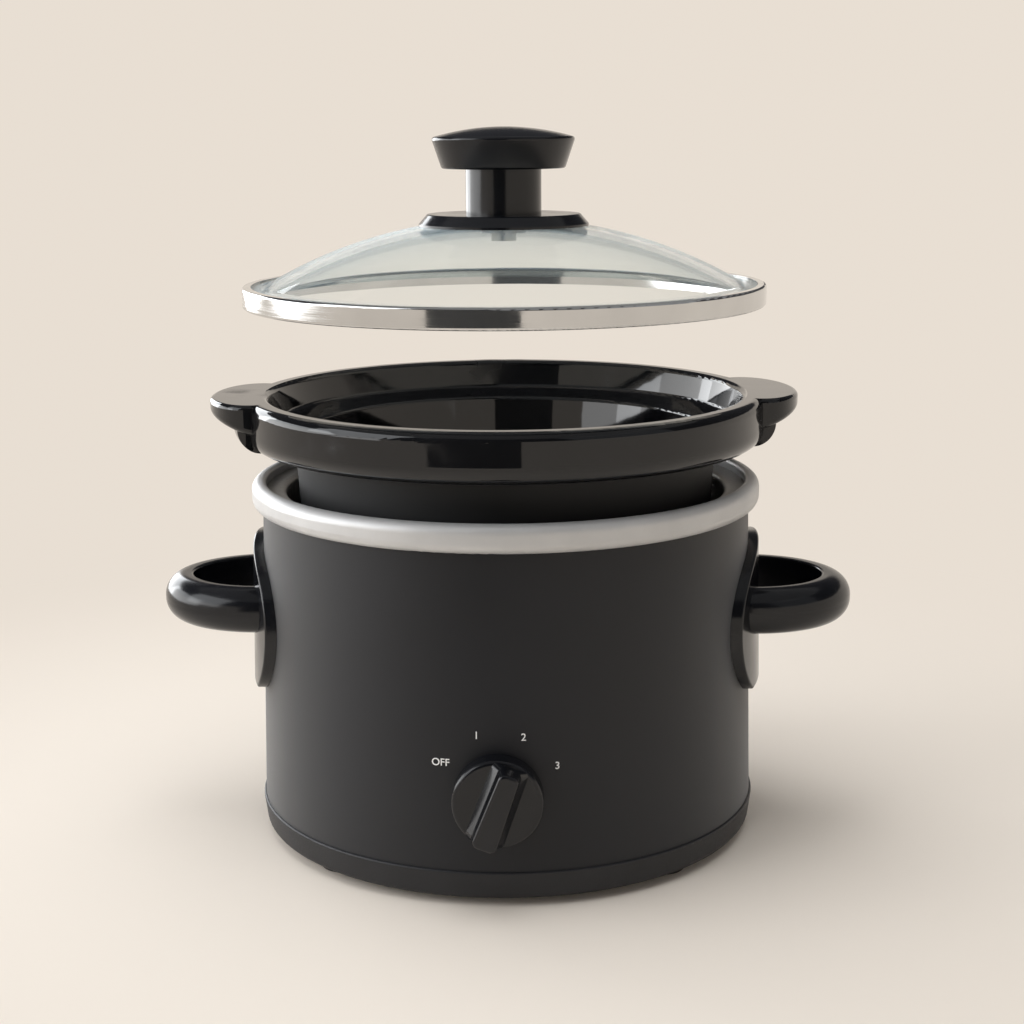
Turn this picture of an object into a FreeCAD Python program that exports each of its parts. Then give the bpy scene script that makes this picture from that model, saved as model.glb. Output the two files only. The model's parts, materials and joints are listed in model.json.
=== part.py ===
import FreeCAD, Part
import math
import os

# A round slow cooker in millimetres, with its lid and its crock lifted off the heating base.
# +Z is up, the dial faces -Y, and the origin is on the body's axis at the level of the feet.

# Clearances
SLIP_FIT = 0.1
RUNNING_FIT = 0.06
SHAFT_HOLE_GAP = 1.5

# Outer shell, a sheet cone that widens slightly towards the tray
SHELL_TOP_RADIUS = 99.2
SHELL_FLARE = 2.8
SHELL_HEIGHT = 124.0
SHELL_WALL = 0.8

# Base tray and its feet
TRAY_OVERHANG = 1.0
TRAY_DRAFT = 1.5
TRAY_BAND_HEIGHT = 11.2
TRAY_WALL = 2.5
TRAY_ROUND = 2.5
TRAY_TOP_ROUND = 0.8
SPIGOT_HEIGHT = 8.0
RECESS_RADIUS = 12.0
RECESS_DEPTH = 7.7
BOSS_HEIGHT = 7.7
FOOT_COUNT = 4
FOOT_HEIGHT = 2.8
FOOT_RADIUS = 9.5
FOOT_ROUND = 1.0
FOOT_INSET = 4.0
FOOT_STEM_RADIUS = 3.0
FOOT_HEAD_RADIUS = 4.5
FOOT_HEAD_HEIGHT = 2.0

# Rim collar on top of the shell
COLLAR_OVERHANG = 4.3
COLLAR_LAP = 3.0
COLLAR_RISE = 8.0
COLLAR_CROWN = 5.7
COLLAR_LEDGE_WIDTH = 3.3
COLLAR_LEDGE_WALL = 3.0
COLLAR_OUTER_ROUND = 3.9
COLLAR_INNER_ROUND = 1.5

# Layers between the shell and the crock, from the outside in
AIR_GAP = 4.6
INSULATION_WALL = 1.2
STRAP_WALL = 0.5
HEATER_WALL = 1.6
LINER_WALL = 0.8
POT_CLEARANCE = 3.9

# Liner and what is wrapped round it
LINER_ROUND = 8.0
LINER_LIP_ROUND = 1.6
BAY_GAP = 4.0
POT_FLOOR_GAP = 3.0
HEATER_RISE = 12.0
HEATER_DROP = 19.0
HEATER_SPLIT = 16.0
HEATER_TAB_WIDTH = 6.0
HEATER_TAB_LENGTH = 10.0
LOW_TAB_ANGLE = -50.0
HIGH_TAB_ANGLE = -130.0
WARM_TAB_ANGLE = -15.0
NEUTRAL_TAB_ANGLE = 35.0
STRAP_WIDTH = 8.0
STRAP_INSET = 8.0
STRAP_SPLIT = 8.0
STRAP_EAR_WALL = 1.2
STRAP_EAR_LENGTH = 3.3
STRAP_SCREW_RADIUS = 1.1
STRAP_SCREW_LENGTH = 15.0
STRAP_SCREW_HEAD_RADIUS = 1.5
STRAP_SCREW_HEAD_HEIGHT = 1.6
INSULATION_MARGIN = 4.0
INSULATION_SPLIT = 20.0

# Centre stud that clamps the base together
STUD_RADIUS = 3.0
STUD_HEAD_RADIUS = 9.0
STUD_HEAD_HEIGHT = 2.0
STUD_END = 0.7
TIE_WASHER_RADIUS = 7.0
TIE_WASHER_WALL = 1.0
TIE_NUT_FLATS = 10.0
TIE_NUT_HEIGHT = 4.0

# Side handles
HANDLE_HEIGHT = 95.0
HANDLE_REACH = 42.1
HANDLE_WIDTH = 75.0
HANDLE_LIMB = 11.0
HANDLE_TIP = 11.8
HANDLE_DEPTH = 18.8
HANDLE_FLAT = 0.6
HANDLE_INNER_ROUND = 1.0
PLATE_WALL = 4.2
PLATE_WIDTH = 91.0
PLATE_FOOT_WIDTH = 62.0
PLATE_HEAD_WIDTH = 62.0
PLATE_DROP = 32.0
PLATE_WAIST_DROP = 2.0
PLATE_SHOULDER = 18.5
PLATE_RISE = 26.5
PLATE_EDGE_ROUND = 0.9
PLATE_CORNER_ROUND = 1.3
HANDLE_SCREW_RADIUS = 1.9
HANDLE_SCREW_DEPTH = 12.0
HANDLE_SCREW_HEAD_RADIUS = 3.6
HANDLE_SCREW_HEAD_HEIGHT = 2.0
HANDLE_WASHER_RADIUS = 4.2
HANDLE_WASHER_WALL = 0.6

# Dial, its shaft and the rotary switch behind it
DIAL_HEIGHT = 43.4
DIAL_RADIUS = 17.0
DIAL_DISC = 8.0
DIAL_GAP = 0.8
DIAL_ROUND = 1.8
DIAL_REST_ANGLE = 20.0
GRIP_HEIGHT = 9.0
GRIP_INSET = 1.4
GRIP_DRAFT = 0.6
GRIP_TIP_WIDTH = 7.2
GRIP_TAIL_WIDTH = 9.4
GRIP_WAIST_HEIGHT = 3.2
GRIP_TIP_WAIST_WIDTH = 9.0
GRIP_TAIL_WAIST_WIDTH = 10.6
GRIP_TIP_FOOT_WIDTH = 16.5
GRIP_TAIL_FOOT_WIDTH = 17.5
GRIP_CORNER_ROUND = 2.6
GRIP_EDGE_ROUND = 1.2
SHAFT_RADIUS = 3.0
SHAFT_FLAT = 0.8
SHAFT_GRIP = 12.0
SWITCH_SETBACK = 12.5
SWITCH_WIDTH = 28.0
SWITCH_HEIGHT = 26.0
SWITCH_DEPTH = 16.0
SWITCH_WALL = 1.6
BUSHING_RADIUS = 4.5
BUSHING_LENGTH = 8.7
SWITCH_NUT_FLATS = 13.0
SWITCH_NUT_HEIGHT = 2.6
ROTOR_RADIUS = 8.6
ROTOR_WIDTH = 7.0
ROTOR_NOTCH_RADIUS = 1.6
ROTOR_STEPS = 9
CONTACT_WALL = 0.5
CONTACT_GAP = 0.6
CONTACT_HEIGHT = 4.0
CONTACT_END_GAP = 1.2
TERMINAL_WALL = 0.8
TERMINAL_HEIGHT = 4.8
TERMINAL_LENGTH = 8.0
TERMINAL_SPACING = 11.0
BRACKET_WALL = 1.2
BRACKET_WIDTH = 40.0
BRACKET_FOOT = 24.0
BRACKET_SCREW_SPACING = 30.0
TRAY_SCREW_RADIUS = 1.5
TRAY_SCREW_HEAD_RADIUS = 3.2
TRAY_SCREW_HEAD_HEIGHT = 2.0
TRAY_SCREW_DEPTH = 5.5
TRAY_BOSS_RADIUS = 4.5

# Terminal block, fuse, wiring and cord gland
BLOCK_INSET = 36.0
BLOCK_LENGTH = 34.0
BLOCK_DEPTH = 16.0
BLOCK_HEIGHT = 14.0
BLOCK_POST_SPACING = 18.0
BLOCK_WIRE_HEIGHT = 4.0
POST_SCREW_RADIUS = 2.2
POST_SCREW_HEIGHT = 4.0
POST_WELL_DEPTH = 6.0
FUSE_OFFSET = -30.0
FUSE_FRONT = 0.0
FUSE_RADIUS = 2.5
FUSE_LENGTH = 14.0
CLIP_WALL = 0.8
CLIP_LENGTH = 6.0
CLIP_FLANGE = 4.0
WIRE_RADIUS = 1.2
WIRE_BEND = 7.0
GLAND_RADIUS = 7.0
GLAND_FLANGE_RADIUS = 9.5
GLAND_FLANGE_WALL = 3.0
GLAND_NECK_RADIUS = 6.0
GLAND_NECK_LENGTH = 6.0
GLAND_BORE_RADIUS = 3.6
GLAND_MOUTH_RADIUS = 4.6
GLAND_AXIS_RISE = 9.5

# Routes of the inner wires, from the ends that they join
TERMINAL_RUN = 15.0
BLOCK_RUN = 16.0
TAB_RUN = 26.0
SUPPLY_BEND_IN = 14.0
SUPPLY_BEND_BACK = 22.0
SUPPLY_BEND_DROP = 20.0
WARM_TERMINAL_RUN = 20.0
WARM_TAB_RUN = 24.0
WARM_BEND_IN = 28.0
WARM_BEND_BACK = 2.0
WARM_BEND_DROP = 30.0
FUSE_RUN = 22.0
LIVE_FUSE_RUN = 16.0
LIVE_BEND_BACK = 20.0
LIVE_BEND_DROP = 18.0
NEUTRAL_BEND_IN = 17.0
NEUTRAL_BEND_FRONT = 16.0
NEUTRAL_BEND_DROP = 38.0

# Crock
CROCK_LIFT = 13.7
CROCK_TURN = 4.5
CROCK_OVERHANG = 1.8
CROCK_BAND_HEIGHT = 20.0
CROCK_RIM_WIDTH = 9.1
CROCK_RIM_SLOPE = 3.0
CROCK_LEDGE_DEPTH = 11.5
CROCK_LEDGE_FALL = 3.5
CROCK_THROAT_DEPTH = 22.0
CROCK_THROAT_FLARE = 4.2
CROCK_WALL = 7.2
CROCK_FLOOR = 7.0
CROCK_TAPER = 5.0
CROCK_INNER_TAPER = 3.5
CROCK_BAND_LOW_ROUND = 7.5
CROCK_BAND_TOP_ROUND = 4.0
CROCK_MOUTH_ROUND = 2.4
CROCK_LEDGE_OUTER_ROUND = 2.0
CROCK_LEDGE_INNER_ROUND = 1.6
CROCK_THROAT_ROUND = 30.0
CROCK_BASE_ROUND = 12.0
CROCK_NECK_ROUND = 2.0
EAR_REACH = 13.9
EAR_WIDTH = 66.0
EAR_LENGTH = 36.0
EAR_ROOT_THICKNESS = 10.5
EAR_TIP_THICKNESS = 5.6
EAR_TOP_ROUND = 1.8
EAR_LOW_ROUND = 2.6
EAR_ROOT_REACH = 4.6
EAR_ROOT_RISE = 0.6
EAR_ROOT_ROUND = 9.0

# Lid
LID_LIFT = 35.7
LID_INSET = 0.6
BAND_HEIGHT = 8.2
BAND_WALL = 0.6
BAND_TOP_LIP = 3.5
BAND_FLOOR_WIDTH = 7.9
BAND_ROUND = 1.1
GLASS_WALL = 4.0
GLASS_EDGE_WIDTH = 8.3
GLASS_HOLE_RADIUS = 4.0
GLASS_KNEE_ROUND = 6.0
DOME_RADIUS = 190.0

# Lid knob
KNOB_BASE_RADIUS = 34.0
KNOB_BASE_BEVEL = 3.4
KNOB_BASE_EDGE = 1.0
KNOB_BASE_HEIGHT = 1.8
KNOB_STEM_RADIUS = 15.1
KNOB_STEM_HEIGHT = 17.7
KNOB_CAP_FOOT_RADIUS = 24.6
KNOB_CAP_RADIUS = 28.7
KNOB_CAP_HEIGHT = 12.1
KNOB_CAP_DOME = 4.2
KNOB_CAP_ROUND = 1.2
KNOB_SCREW_RADIUS = 2.5
KNOB_SCREW_HOLE_GAP = 0.5
KNOB_SCREW_HEAD_RADIUS = 5.0
KNOB_SCREW_HEAD_HEIGHT = 3.0
INSERT_RADIUS = 4.2
INSERT_LENGTH = 9.0
KNOB_WASHER_RADIUS = 9.0
KNOB_WASHER_WALL = 1.0
KNOB_GASKET_WALL = 1.0

V = FreeCAD.Vector
UP = V(0, 0, 1)
REARWARD = V(0, 1, 0)
OUTWARD = V(1, 0, 0)


# Heights and radii that follow from the sizes above

TRAY_LEDGE_Z = FOOT_HEIGHT + TRAY_BAND_HEIGHT
TRAY_FLOOR_Z = FOOT_HEIGHT + TRAY_WALL
BOSS_TOP_Z = TRAY_FLOOR_Z + BOSS_HEIGHT
SHELL_TOP_Z = TRAY_LEDGE_Z + SHELL_HEIGHT
COLLAR_LOW_Z = SHELL_TOP_Z - COLLAR_LAP
COLLAR_TOP_Z = SHELL_TOP_Z + COLLAR_RISE
FLANGE_Z = SHELL_TOP_Z + COLLAR_LEDGE_WALL
LINER_LOW_Z = DIAL_HEIGHT + SWITCH_HEIGHT / 2 + BAY_GAP
HEATER_LOW_Z = LINER_LOW_Z + HEATER_RISE
HEATER_TOP_Z = FLANGE_Z - HEATER_DROP

COLLAR_RADIUS = SHELL_TOP_RADIUS + COLLAR_OVERHANG
CROWN_INNER_RADIUS = COLLAR_RADIUS - COLLAR_CROWN
COLLAR_INNER_RADIUS = CROWN_INNER_RADIUS - COLLAR_LEDGE_WIDTH
INSULATION_RADIUS = SHELL_TOP_RADIUS - SHELL_WALL - AIR_GAP
STRAP_RADIUS = INSULATION_RADIUS - INSULATION_WALL - SLIP_FIT
HEATER_RADIUS = STRAP_RADIUS - STRAP_WALL - SLIP_FIT
LINER_RADIUS = HEATER_RADIUS - HEATER_WALL - SLIP_FIT
LINER_BORE = LINER_RADIUS - LINER_WALL
CROCK_BODY_RADIUS = LINER_BORE - POT_CLEARANCE
CROCK_RIM_RADIUS = COLLAR_RADIUS + CROCK_OVERHANG
CROCK_MOUTH_RADIUS = CROCK_RIM_RADIUS - CROCK_RIM_WIDTH
CROCK_BAND_Z = COLLAR_TOP_Z + CROCK_LIFT
CROCK_TOP_Z = CROCK_BAND_Z + CROCK_BAND_HEIGHT
CROCK_LOW_Z = LINER_LOW_Z + LINER_WALL + POT_FLOOR_GAP + CROCK_LIFT
LID_RADIUS = CROCK_RIM_RADIUS - LID_INSET
LID_LOW_Z = CROCK_TOP_Z + LID_LIFT
LID_TOP_Z = LID_LOW_Z + BAND_HEIGHT
GLASS_TOP_Z = LID_TOP_Z - BAND_WALL - SLIP_FIT / 2
DOME_FOOT_RADIUS = LID_RADIUS - GLASS_EDGE_WIDTH
DOME_CENTRE_Z = GLASS_TOP_Z - math.sqrt(DOME_RADIUS**2 - DOME_FOOT_RADIUS**2)
DOME_TOP_Z = DOME_CENTRE_Z + DOME_RADIUS
STEM_LOW_Z = DOME_TOP_Z + KNOB_BASE_HEIGHT
CAP_LOW_Z = STEM_LOW_Z + KNOB_STEM_HEIGHT


def shell_radius(z):
    """Radius of the shell's outer face at height z."""
    return SHELL_TOP_RADIUS + SHELL_FLARE * (SHELL_TOP_Z - z) / SHELL_HEIGHT


SWITCH_FRONT_Y = SWITCH_SETBACK + SHELL_WALL - shell_radius(DIAL_HEIGHT)
HOUSING_FRONT_Y = SWITCH_FRONT_Y + BRACKET_WALL
COVER_Y = HOUSING_FRONT_Y + SWITCH_DEPTH
COVER_REAR_Y = COVER_Y + SWITCH_WALL
TERMINAL_END_Y = COVER_REAR_Y + TERMINAL_LENGTH
DIAL_BACK_Y = -shell_radius(DIAL_HEIGHT) - DIAL_GAP
CONTACT_X = ROTOR_RADIUS + CONTACT_GAP + CONTACT_WALL / 2
GLAND_Z = TRAY_LEDGE_Z + GLAND_AXIS_RISE
BLOCK_PLACE = shell_radius(TRAY_LEDGE_Z) - BLOCK_INSET
FUSE_Z = LINER_LOW_Z - FUSE_RADIUS - SLIP_FIT


# Shape helpers

def corner(before, at, after, radius):
    """Start, middle and end of the arc that rounds the corner of an outline."""
    back = (before - at).normalize()
    ahead = (after - at).normalize()
    half = back.getAngle(ahead) / 2
    inset = radius / math.tan(half)
    depth = radius / math.sin(half) - radius
    bisector = (back + ahead).normalize()
    return at + back * inset, at + bisector * depth, at + ahead * inset


def outline(points, place):
    """Closed wire through points (a, b) or (a, b, corner radius), put in space by place(a, b)."""
    spots = [place(*point[:2]) for point in points]
    arcs = []
    for i, point in enumerate(points):
        if len(point) > 2:
            arcs.append(corner(spots[i - 1], spots[i], spots[(i + 1) % len(spots)], point[2]))
        else:
            arcs.append((spots[i], None, spots[i]))
    edges = []
    for i, (start, middle, end) in enumerate(arcs):
        if middle is not None:
            edges.append(Part.Arc(start, middle, end).toShape())
        following = arcs[(i + 1) % len(arcs)][0]
        if (following - end).Length > 1e-6:
            edges.append(Part.makeLine(end, following))
    return Part.Wire(edges)


def turned(points):
    """Solid of revolution about Z from a closed profile of (radius, z) points."""
    profile = Part.Face(outline(points, lambda r, z: V(r, 0, z)))
    return profile.revolve(V(), UP, 360)


def extruded(points, place, way):
    """Prism from a closed outline of points."""
    return Part.Face(outline(points, place)).extrude(way)


def rod(radius, start, end):
    """Round bar between two points."""
    return Part.makeCylinder(radius, (end - start).Length, start, end - start)


def tube(inner, outer, low, high):
    """Upright ring about Z."""
    return rod(outer, V(0, 0, low), V(0, 0, high)).cut(rod(inner, V(0, 0, low), V(0, 0, high)))


def block(x, y, z):
    """Box between (low, high) pairs along each axis."""
    return Part.makeBox(x[1] - x[0], y[1] - y[0], z[1] - z[0], V(x[0], y[0], z[0]))


def hexagon(flats, start, way):
    """Hexagonal bar with the given distance across its flats, along way from start."""
    across = OUTWARD if way.z else UP
    radius = flats / math.sqrt(3)
    corners = []
    for step in range(7):
        spoke = FreeCAD.Rotation(way, 60 * step).multVec(across)
        corners.append(start + spoke * radius)
    return Part.Face(Part.makePolygon(corners)).extrude(way)


def ellipse_bar(foot, reach_x, reach_y, height):
    """Upright bar with an elliptic plan, from the middle of its foot."""
    axes = sorted([V(reach_x, 0, 0), V(0, reach_y, 0)], key=lambda axis: -axis.Length)
    rim = Part.Ellipse(foot + axes[0], foot + axes[1], foot)
    return Part.Face(Part.Wire(rim.toShape())).extrude(UP * height)


def rounded(solid, radius, test):
    """Solid with the edges that pass the test rounded."""
    return solid.makeFillet(radius, [edge for edge in solid.Edges if test(edge)])


def turned_about_z(shape, degrees):
    """Copy of the shape turned about the body's axis."""
    copy = shape.copy()
    copy.rotate(V(), UP, degrees)
    return copy


def mirrored(shape):
    """The same shape on the other side of the cooker."""
    return shape.mirror(V(), OUTWARD)


def shell_cone(offset, low, high):
    """Solid cone that follows the shell's outer face at a distance."""
    return Part.makeCone(
        shell_radius(low) + offset, shell_radius(high) + offset, high - low, V(0, 0, low)
    )


def tombstone(half_width, start_y, end_y):
    """Block with a flat foot on the tray's ledge and a round top about the gland's axis."""
    top = GLAND_Z + half_width
    points = [
        (-half_width, TRAY_LEDGE_Z),
        (half_width, TRAY_LEDGE_Z),
        (half_width, top, half_width),
        (-half_width, top, half_width),
    ]
    return extruded(points, lambda x, z: V(x, start_y, z), V(0, end_y - start_y, 0))


# Base tray and feet

def foot_places():
    """Points under the tray where the feet stand."""
    reach = shell_radius(TRAY_LEDGE_Z) + TRAY_OVERHANG - TRAY_DRAFT - FOOT_INSET - FOOT_RADIUS
    for step in range(FOOT_COUNT):
        angle = math.radians(360 / FOOT_COUNT * (step + 0.5))
        yield V(reach * math.cos(angle), reach * math.sin(angle), 0)


def bracket_screw_places():
    """Boss tops under the switch bracket's foot."""
    y = SWITCH_FRONT_Y + BRACKET_FOOT * 2 / 3
    for side in (-1, 1):
        yield V(side * BRACKET_SCREW_SPACING / 2, y, BOSS_TOP_Z)


def block_screw_place():
    """Boss top under the terminal block."""
    return V(0, BLOCK_PLACE, BOSS_TOP_Z)


def base_tray():
    band_radius = shell_radius(TRAY_LEDGE_Z) + TRAY_OVERHANG
    spigot_top = TRAY_LEDGE_Z + SPIGOT_HEIGHT
    spigot_radius = shell_radius(spigot_top) - SHELL_WALL - SLIP_FIT
    spigot_bore = spigot_radius - TRAY_WALL
    hole = STUD_RADIUS + SLIP_FIT
    recess_z = FOOT_HEIGHT + RECESS_DEPTH
    tray = turned([
        (hole, recess_z),
        (RECESS_RADIUS, recess_z),
        (RECESS_RADIUS, FOOT_HEIGHT),
        (band_radius - TRAY_DRAFT, FOOT_HEIGHT, TRAY_ROUND),
        (band_radius, TRAY_LEDGE_Z, TRAY_TOP_ROUND),
        (spigot_radius, TRAY_LEDGE_Z),
        (spigot_radius, spigot_top),
        (spigot_bore, spigot_top),
        (spigot_bore, TRAY_FLOOR_Z),
        (RECESS_RADIUS + TRAY_WALL, TRAY_FLOOR_Z),
        (RECESS_RADIUS + TRAY_WALL, recess_z + TRAY_WALL),
        (hole, recess_z + TRAY_WALL),
    ])
    for place in [*bracket_screw_places(), block_screw_place()]:
        tray = tray.fuse(rod(TRAY_BOSS_RADIUS, place - UP * BOSS_HEIGHT, place))
        tray = tray.cut(rod(TRAY_SCREW_RADIUS + SLIP_FIT / 2, place - UP * TRAY_SCREW_DEPTH, place))
    for place in foot_places():
        tray = tray.cut(rod(FOOT_STEM_RADIUS + SLIP_FIT, place, place + UP * TRAY_FLOOR_Z))
    notch = GLAND_FLANGE_RADIUS + SLIP_FIT
    tray = tray.cut(block((-notch, notch), (0, band_radius), (TRAY_LEDGE_Z, spigot_top)))
    return tray.removeSplitter()


def rubber_feet():
    head_z = TRAY_FLOOR_Z
    foot = turned([
        (0, 0),
        (FOOT_RADIUS, 0, FOOT_ROUND),
        (FOOT_RADIUS, FOOT_HEIGHT),
        (FOOT_STEM_RADIUS, FOOT_HEIGHT),
        (FOOT_STEM_RADIUS, head_z),
        (FOOT_HEAD_RADIUS, head_z),
        (FOOT_HEAD_RADIUS - FOOT_ROUND, head_z + FOOT_HEAD_HEIGHT),
        (0, head_z + FOOT_HEAD_HEIGHT),
    ])
    return [foot.translated(place) for place in foot_places()]


# Shell and collar

def handle_screw_spots():
    """Points on the handle screws' axes, on the body's own axis plane, for the right-hand side."""
    offset = HANDLE_WIDTH / 2 - HANDLE_LIMB / 2
    return [V(0, side * offset, HANDLE_HEIGHT) for side in (-1, 1)]


def outer_shell():
    shell = shell_cone(0, TRAY_LEDGE_Z, SHELL_TOP_Z).cut(
        shell_cone(-SHELL_WALL, TRAY_LEDGE_Z, SHELL_TOP_Z)
    )
    beyond = shell_radius(TRAY_LEDGE_Z) * 2
    shaft_hole = SHAFT_RADIUS + SHAFT_HOLE_GAP
    shell = shell.cut(rod(shaft_hole, V(0, -beyond, DIAL_HEIGHT), V(0, 0, DIAL_HEIGHT)))
    for spot in handle_screw_spots():
        hole = rod(HANDLE_SCREW_RADIUS + SLIP_FIT, spot - OUTWARD * beyond, spot + OUTWARD * beyond)
        shell = shell.cut(hole)
    return shell.cut(tombstone(GLAND_RADIUS + SLIP_FIT, 0, beyond))


def rim_collar():
    skirt_bore = SHELL_TOP_RADIUS + SHELL_FLARE * COLLAR_LAP / SHELL_HEIGHT + SLIP_FIT
    return turned([
        (skirt_bore, COLLAR_LOW_Z),
        (COLLAR_RADIUS, COLLAR_LOW_Z, COLLAR_OUTER_ROUND),
        (COLLAR_RADIUS, COLLAR_TOP_Z, COLLAR_OUTER_ROUND),
        (CROWN_INNER_RADIUS, COLLAR_TOP_Z, COLLAR_INNER_ROUND),
        (CROWN_INNER_RADIUS, FLANGE_Z),
        (COLLAR_INNER_RADIUS, FLANGE_Z),
        (COLLAR_INNER_RADIUS, SHELL_TOP_Z),
        (skirt_bore, SHELL_TOP_Z),
    ])


# Liner and heater

def inner_liner():
    flange_radius = CROWN_INNER_RADIUS - SLIP_FIT
    floor_z = LINER_LOW_Z + LINER_WALL
    flange_top = FLANGE_Z + LINER_WALL
    return turned([
        (0, LINER_LOW_Z),
        (LINER_RADIUS, LINER_LOW_Z, LINER_ROUND + LINER_WALL),
        (LINER_RADIUS, FLANGE_Z, LINER_LIP_ROUND),
        (flange_radius, FLANGE_Z),
        (flange_radius, flange_top),
        (LINER_BORE, flange_top, LINER_LIP_ROUND + LINER_WALL),
        (LINER_BORE, floor_z, LINER_ROUND),
        (0, floor_z),
    ])


def rear_gap(width, low, high):
    """Cutter for the split that each wrapped layer has at the back."""
    return block((-width / 2, width / 2), (0, SHELL_TOP_RADIUS), (low, high))


def heater_tab_end(angle):
    """Middle of the lower end of the lead tab at an angle round the heater."""
    radius = HEATER_RADIUS - HEATER_WALL / 2
    turn = math.radians(angle)
    return V(radius * math.cos(turn), radius * math.sin(turn), HEATER_LOW_Z - HEATER_TAB_LENGTH)


def heating_element():
    bore = HEATER_RADIUS - HEATER_WALL
    tab_low = HEATER_LOW_Z - HEATER_TAB_LENGTH
    wrap = tube(bore, HEATER_RADIUS, HEATER_LOW_Z, HEATER_TOP_Z)
    wrap = wrap.cut(rear_gap(HEATER_SPLIT, HEATER_LOW_Z, HEATER_TOP_Z))
    skirt = tube(bore, HEATER_RADIUS, tab_low, HEATER_LOW_Z)
    half = HEATER_TAB_WIDTH / 2
    for angle in (LOW_TAB_ANGLE, HIGH_TAB_ANGLE, WARM_TAB_ANGLE, NEUTRAL_TAB_ANGLE):
        window = block((0, SHELL_TOP_RADIUS), (-half, half), (tab_low, HEATER_LOW_Z))
        wrap = wrap.fuse(skirt.common(turned_about_z(window, angle)))
    return wrap.removeSplitter()


def strap_heights():
    """Middle heights of the two straps."""
    reach = STRAP_INSET + STRAP_WIDTH / 2
    return (HEATER_LOW_Z + reach, HEATER_TOP_Z - reach)


def heater_straps():
    ear_reach = STRAP_RADIUS + STRAP_EAR_LENGTH
    screw_y = STRAP_RADIUS + STRAP_EAR_LENGTH / 2
    straps = []
    for middle in strap_heights():
        low = middle - STRAP_WIDTH / 2
        high = middle + STRAP_WIDTH / 2
        strap = tube(STRAP_RADIUS - STRAP_WALL, STRAP_RADIUS, low, high)
        strap = strap.cut(rear_gap(STRAP_SPLIT, low, high))
        ear_y = (STRAP_RADIUS - STRAP_WALL, ear_reach)
        for side in (-1, 1):
            near = side * STRAP_SPLIT / 2
            far = side * (STRAP_SPLIT / 2 + STRAP_EAR_WALL)
            strap = strap.fuse(block((min(near, far), max(near, far)), ear_y, (low, high)))
        reach = OUTWARD * STRAP_SCREW_LENGTH
        axis = V(0, screw_y, middle)
        strap = strap.cut(rod(STRAP_SCREW_RADIUS + SLIP_FIT, axis - reach, axis + reach))
        strap = strap.cut(rod(STRAP_RADIUS - STRAP_WALL, V(0, 0, low), V(0, 0, high)))
        straps.append(strap.removeSplitter())
    return straps


def strap_screws():
    ear_face = STRAP_SPLIT / 2 + STRAP_EAR_WALL
    screws = []
    for middle in strap_heights():
        axis = V(0, STRAP_RADIUS + STRAP_EAR_LENGTH / 2, middle)
        bearing = axis + OUTWARD * ear_face
        head = rod(STRAP_SCREW_HEAD_RADIUS, bearing, bearing + OUTWARD * STRAP_SCREW_HEAD_HEIGHT)
        shank = rod(STRAP_SCREW_RADIUS, bearing - OUTWARD * STRAP_SCREW_LENGTH, bearing)
        screws.append(head.fuse(shank).removeSplitter())
    return screws


def insulation_wrap():
    low = HEATER_LOW_Z - INSULATION_MARGIN
    high = HEATER_TOP_Z + INSULATION_MARGIN
    wrap = tube(INSULATION_RADIUS - INSULATION_WALL, INSULATION_RADIUS, low, high)
    return wrap.cut(rear_gap(INSULATION_SPLIT, low, high))


# Centre stud

def tie_stud():
    head_z = LINER_LOW_Z - STUD_HEAD_HEIGHT
    end_z = nut_low_z() - STUD_END
    shank = rod(STUD_RADIUS, V(0, 0, end_z), V(0, 0, head_z))
    head = rod(STUD_HEAD_RADIUS, V(0, 0, head_z), V(0, 0, LINER_LOW_Z))
    return shank.fuse(head).removeSplitter()


def washer_low_z():
    return FOOT_HEIGHT + RECESS_DEPTH - TIE_WASHER_WALL


def nut_low_z():
    return washer_low_z() - TIE_NUT_HEIGHT


def tie_washer():
    low = washer_low_z()
    return tube(STUD_RADIUS + SLIP_FIT, TIE_WASHER_RADIUS, low, low + TIE_WASHER_WALL)


def tie_nut():
    low = V(0, 0, nut_low_z())
    nut = hexagon(TIE_NUT_FLATS, low, UP * TIE_NUT_HEIGHT)
    return nut.cut(rod(STUD_RADIUS + SLIP_FIT / 2, low, low + UP * TIE_NUT_HEIGHT))


# Side handles

def handle_bar(reach_x, reach_y):
    """Elliptic bar as deep as the handle, centred on the shell's face where the handle joins it."""
    foot = V(shell_radius(HANDLE_HEIGHT), 0, HANDLE_HEIGHT - HANDLE_DEPTH / 2)
    return ellipse_bar(foot, reach_x, reach_y, HANDLE_DEPTH)


def handle_loop():
    """Ring with a crisp edge round its hole and a full round outside."""
    outer = handle_bar(HANDLE_REACH, HANDLE_WIDTH / 2)
    inner = handle_bar(HANDLE_REACH - HANDLE_TIP, HANDLE_WIDTH / 2 - HANDLE_LIMB)
    middle = HANDLE_WIDTH / 2 - HANDLE_LIMB / 2
    room = min(HANDLE_DEPTH / 2, min(HANDLE_LIMB, HANDLE_TIP) - HANDLE_INNER_ROUND)
    loop = rounded(
        outer.cut(inner), room - HANDLE_FLAT, lambda edge: edge.isClosed() and edge.BoundBox.YMax > middle
    )
    return rounded(loop, HANDLE_INNER_ROUND, lambda edge: is_hole_edge(edge, middle))


def is_hole_edge(edge, middle):
    """Whether an edge runs round the top or the bottom of the handle's hole."""
    box = edge.BoundBox
    return edge.isClosed() and box.YMax < middle and box.ZLength < SLIP_FIT


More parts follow.
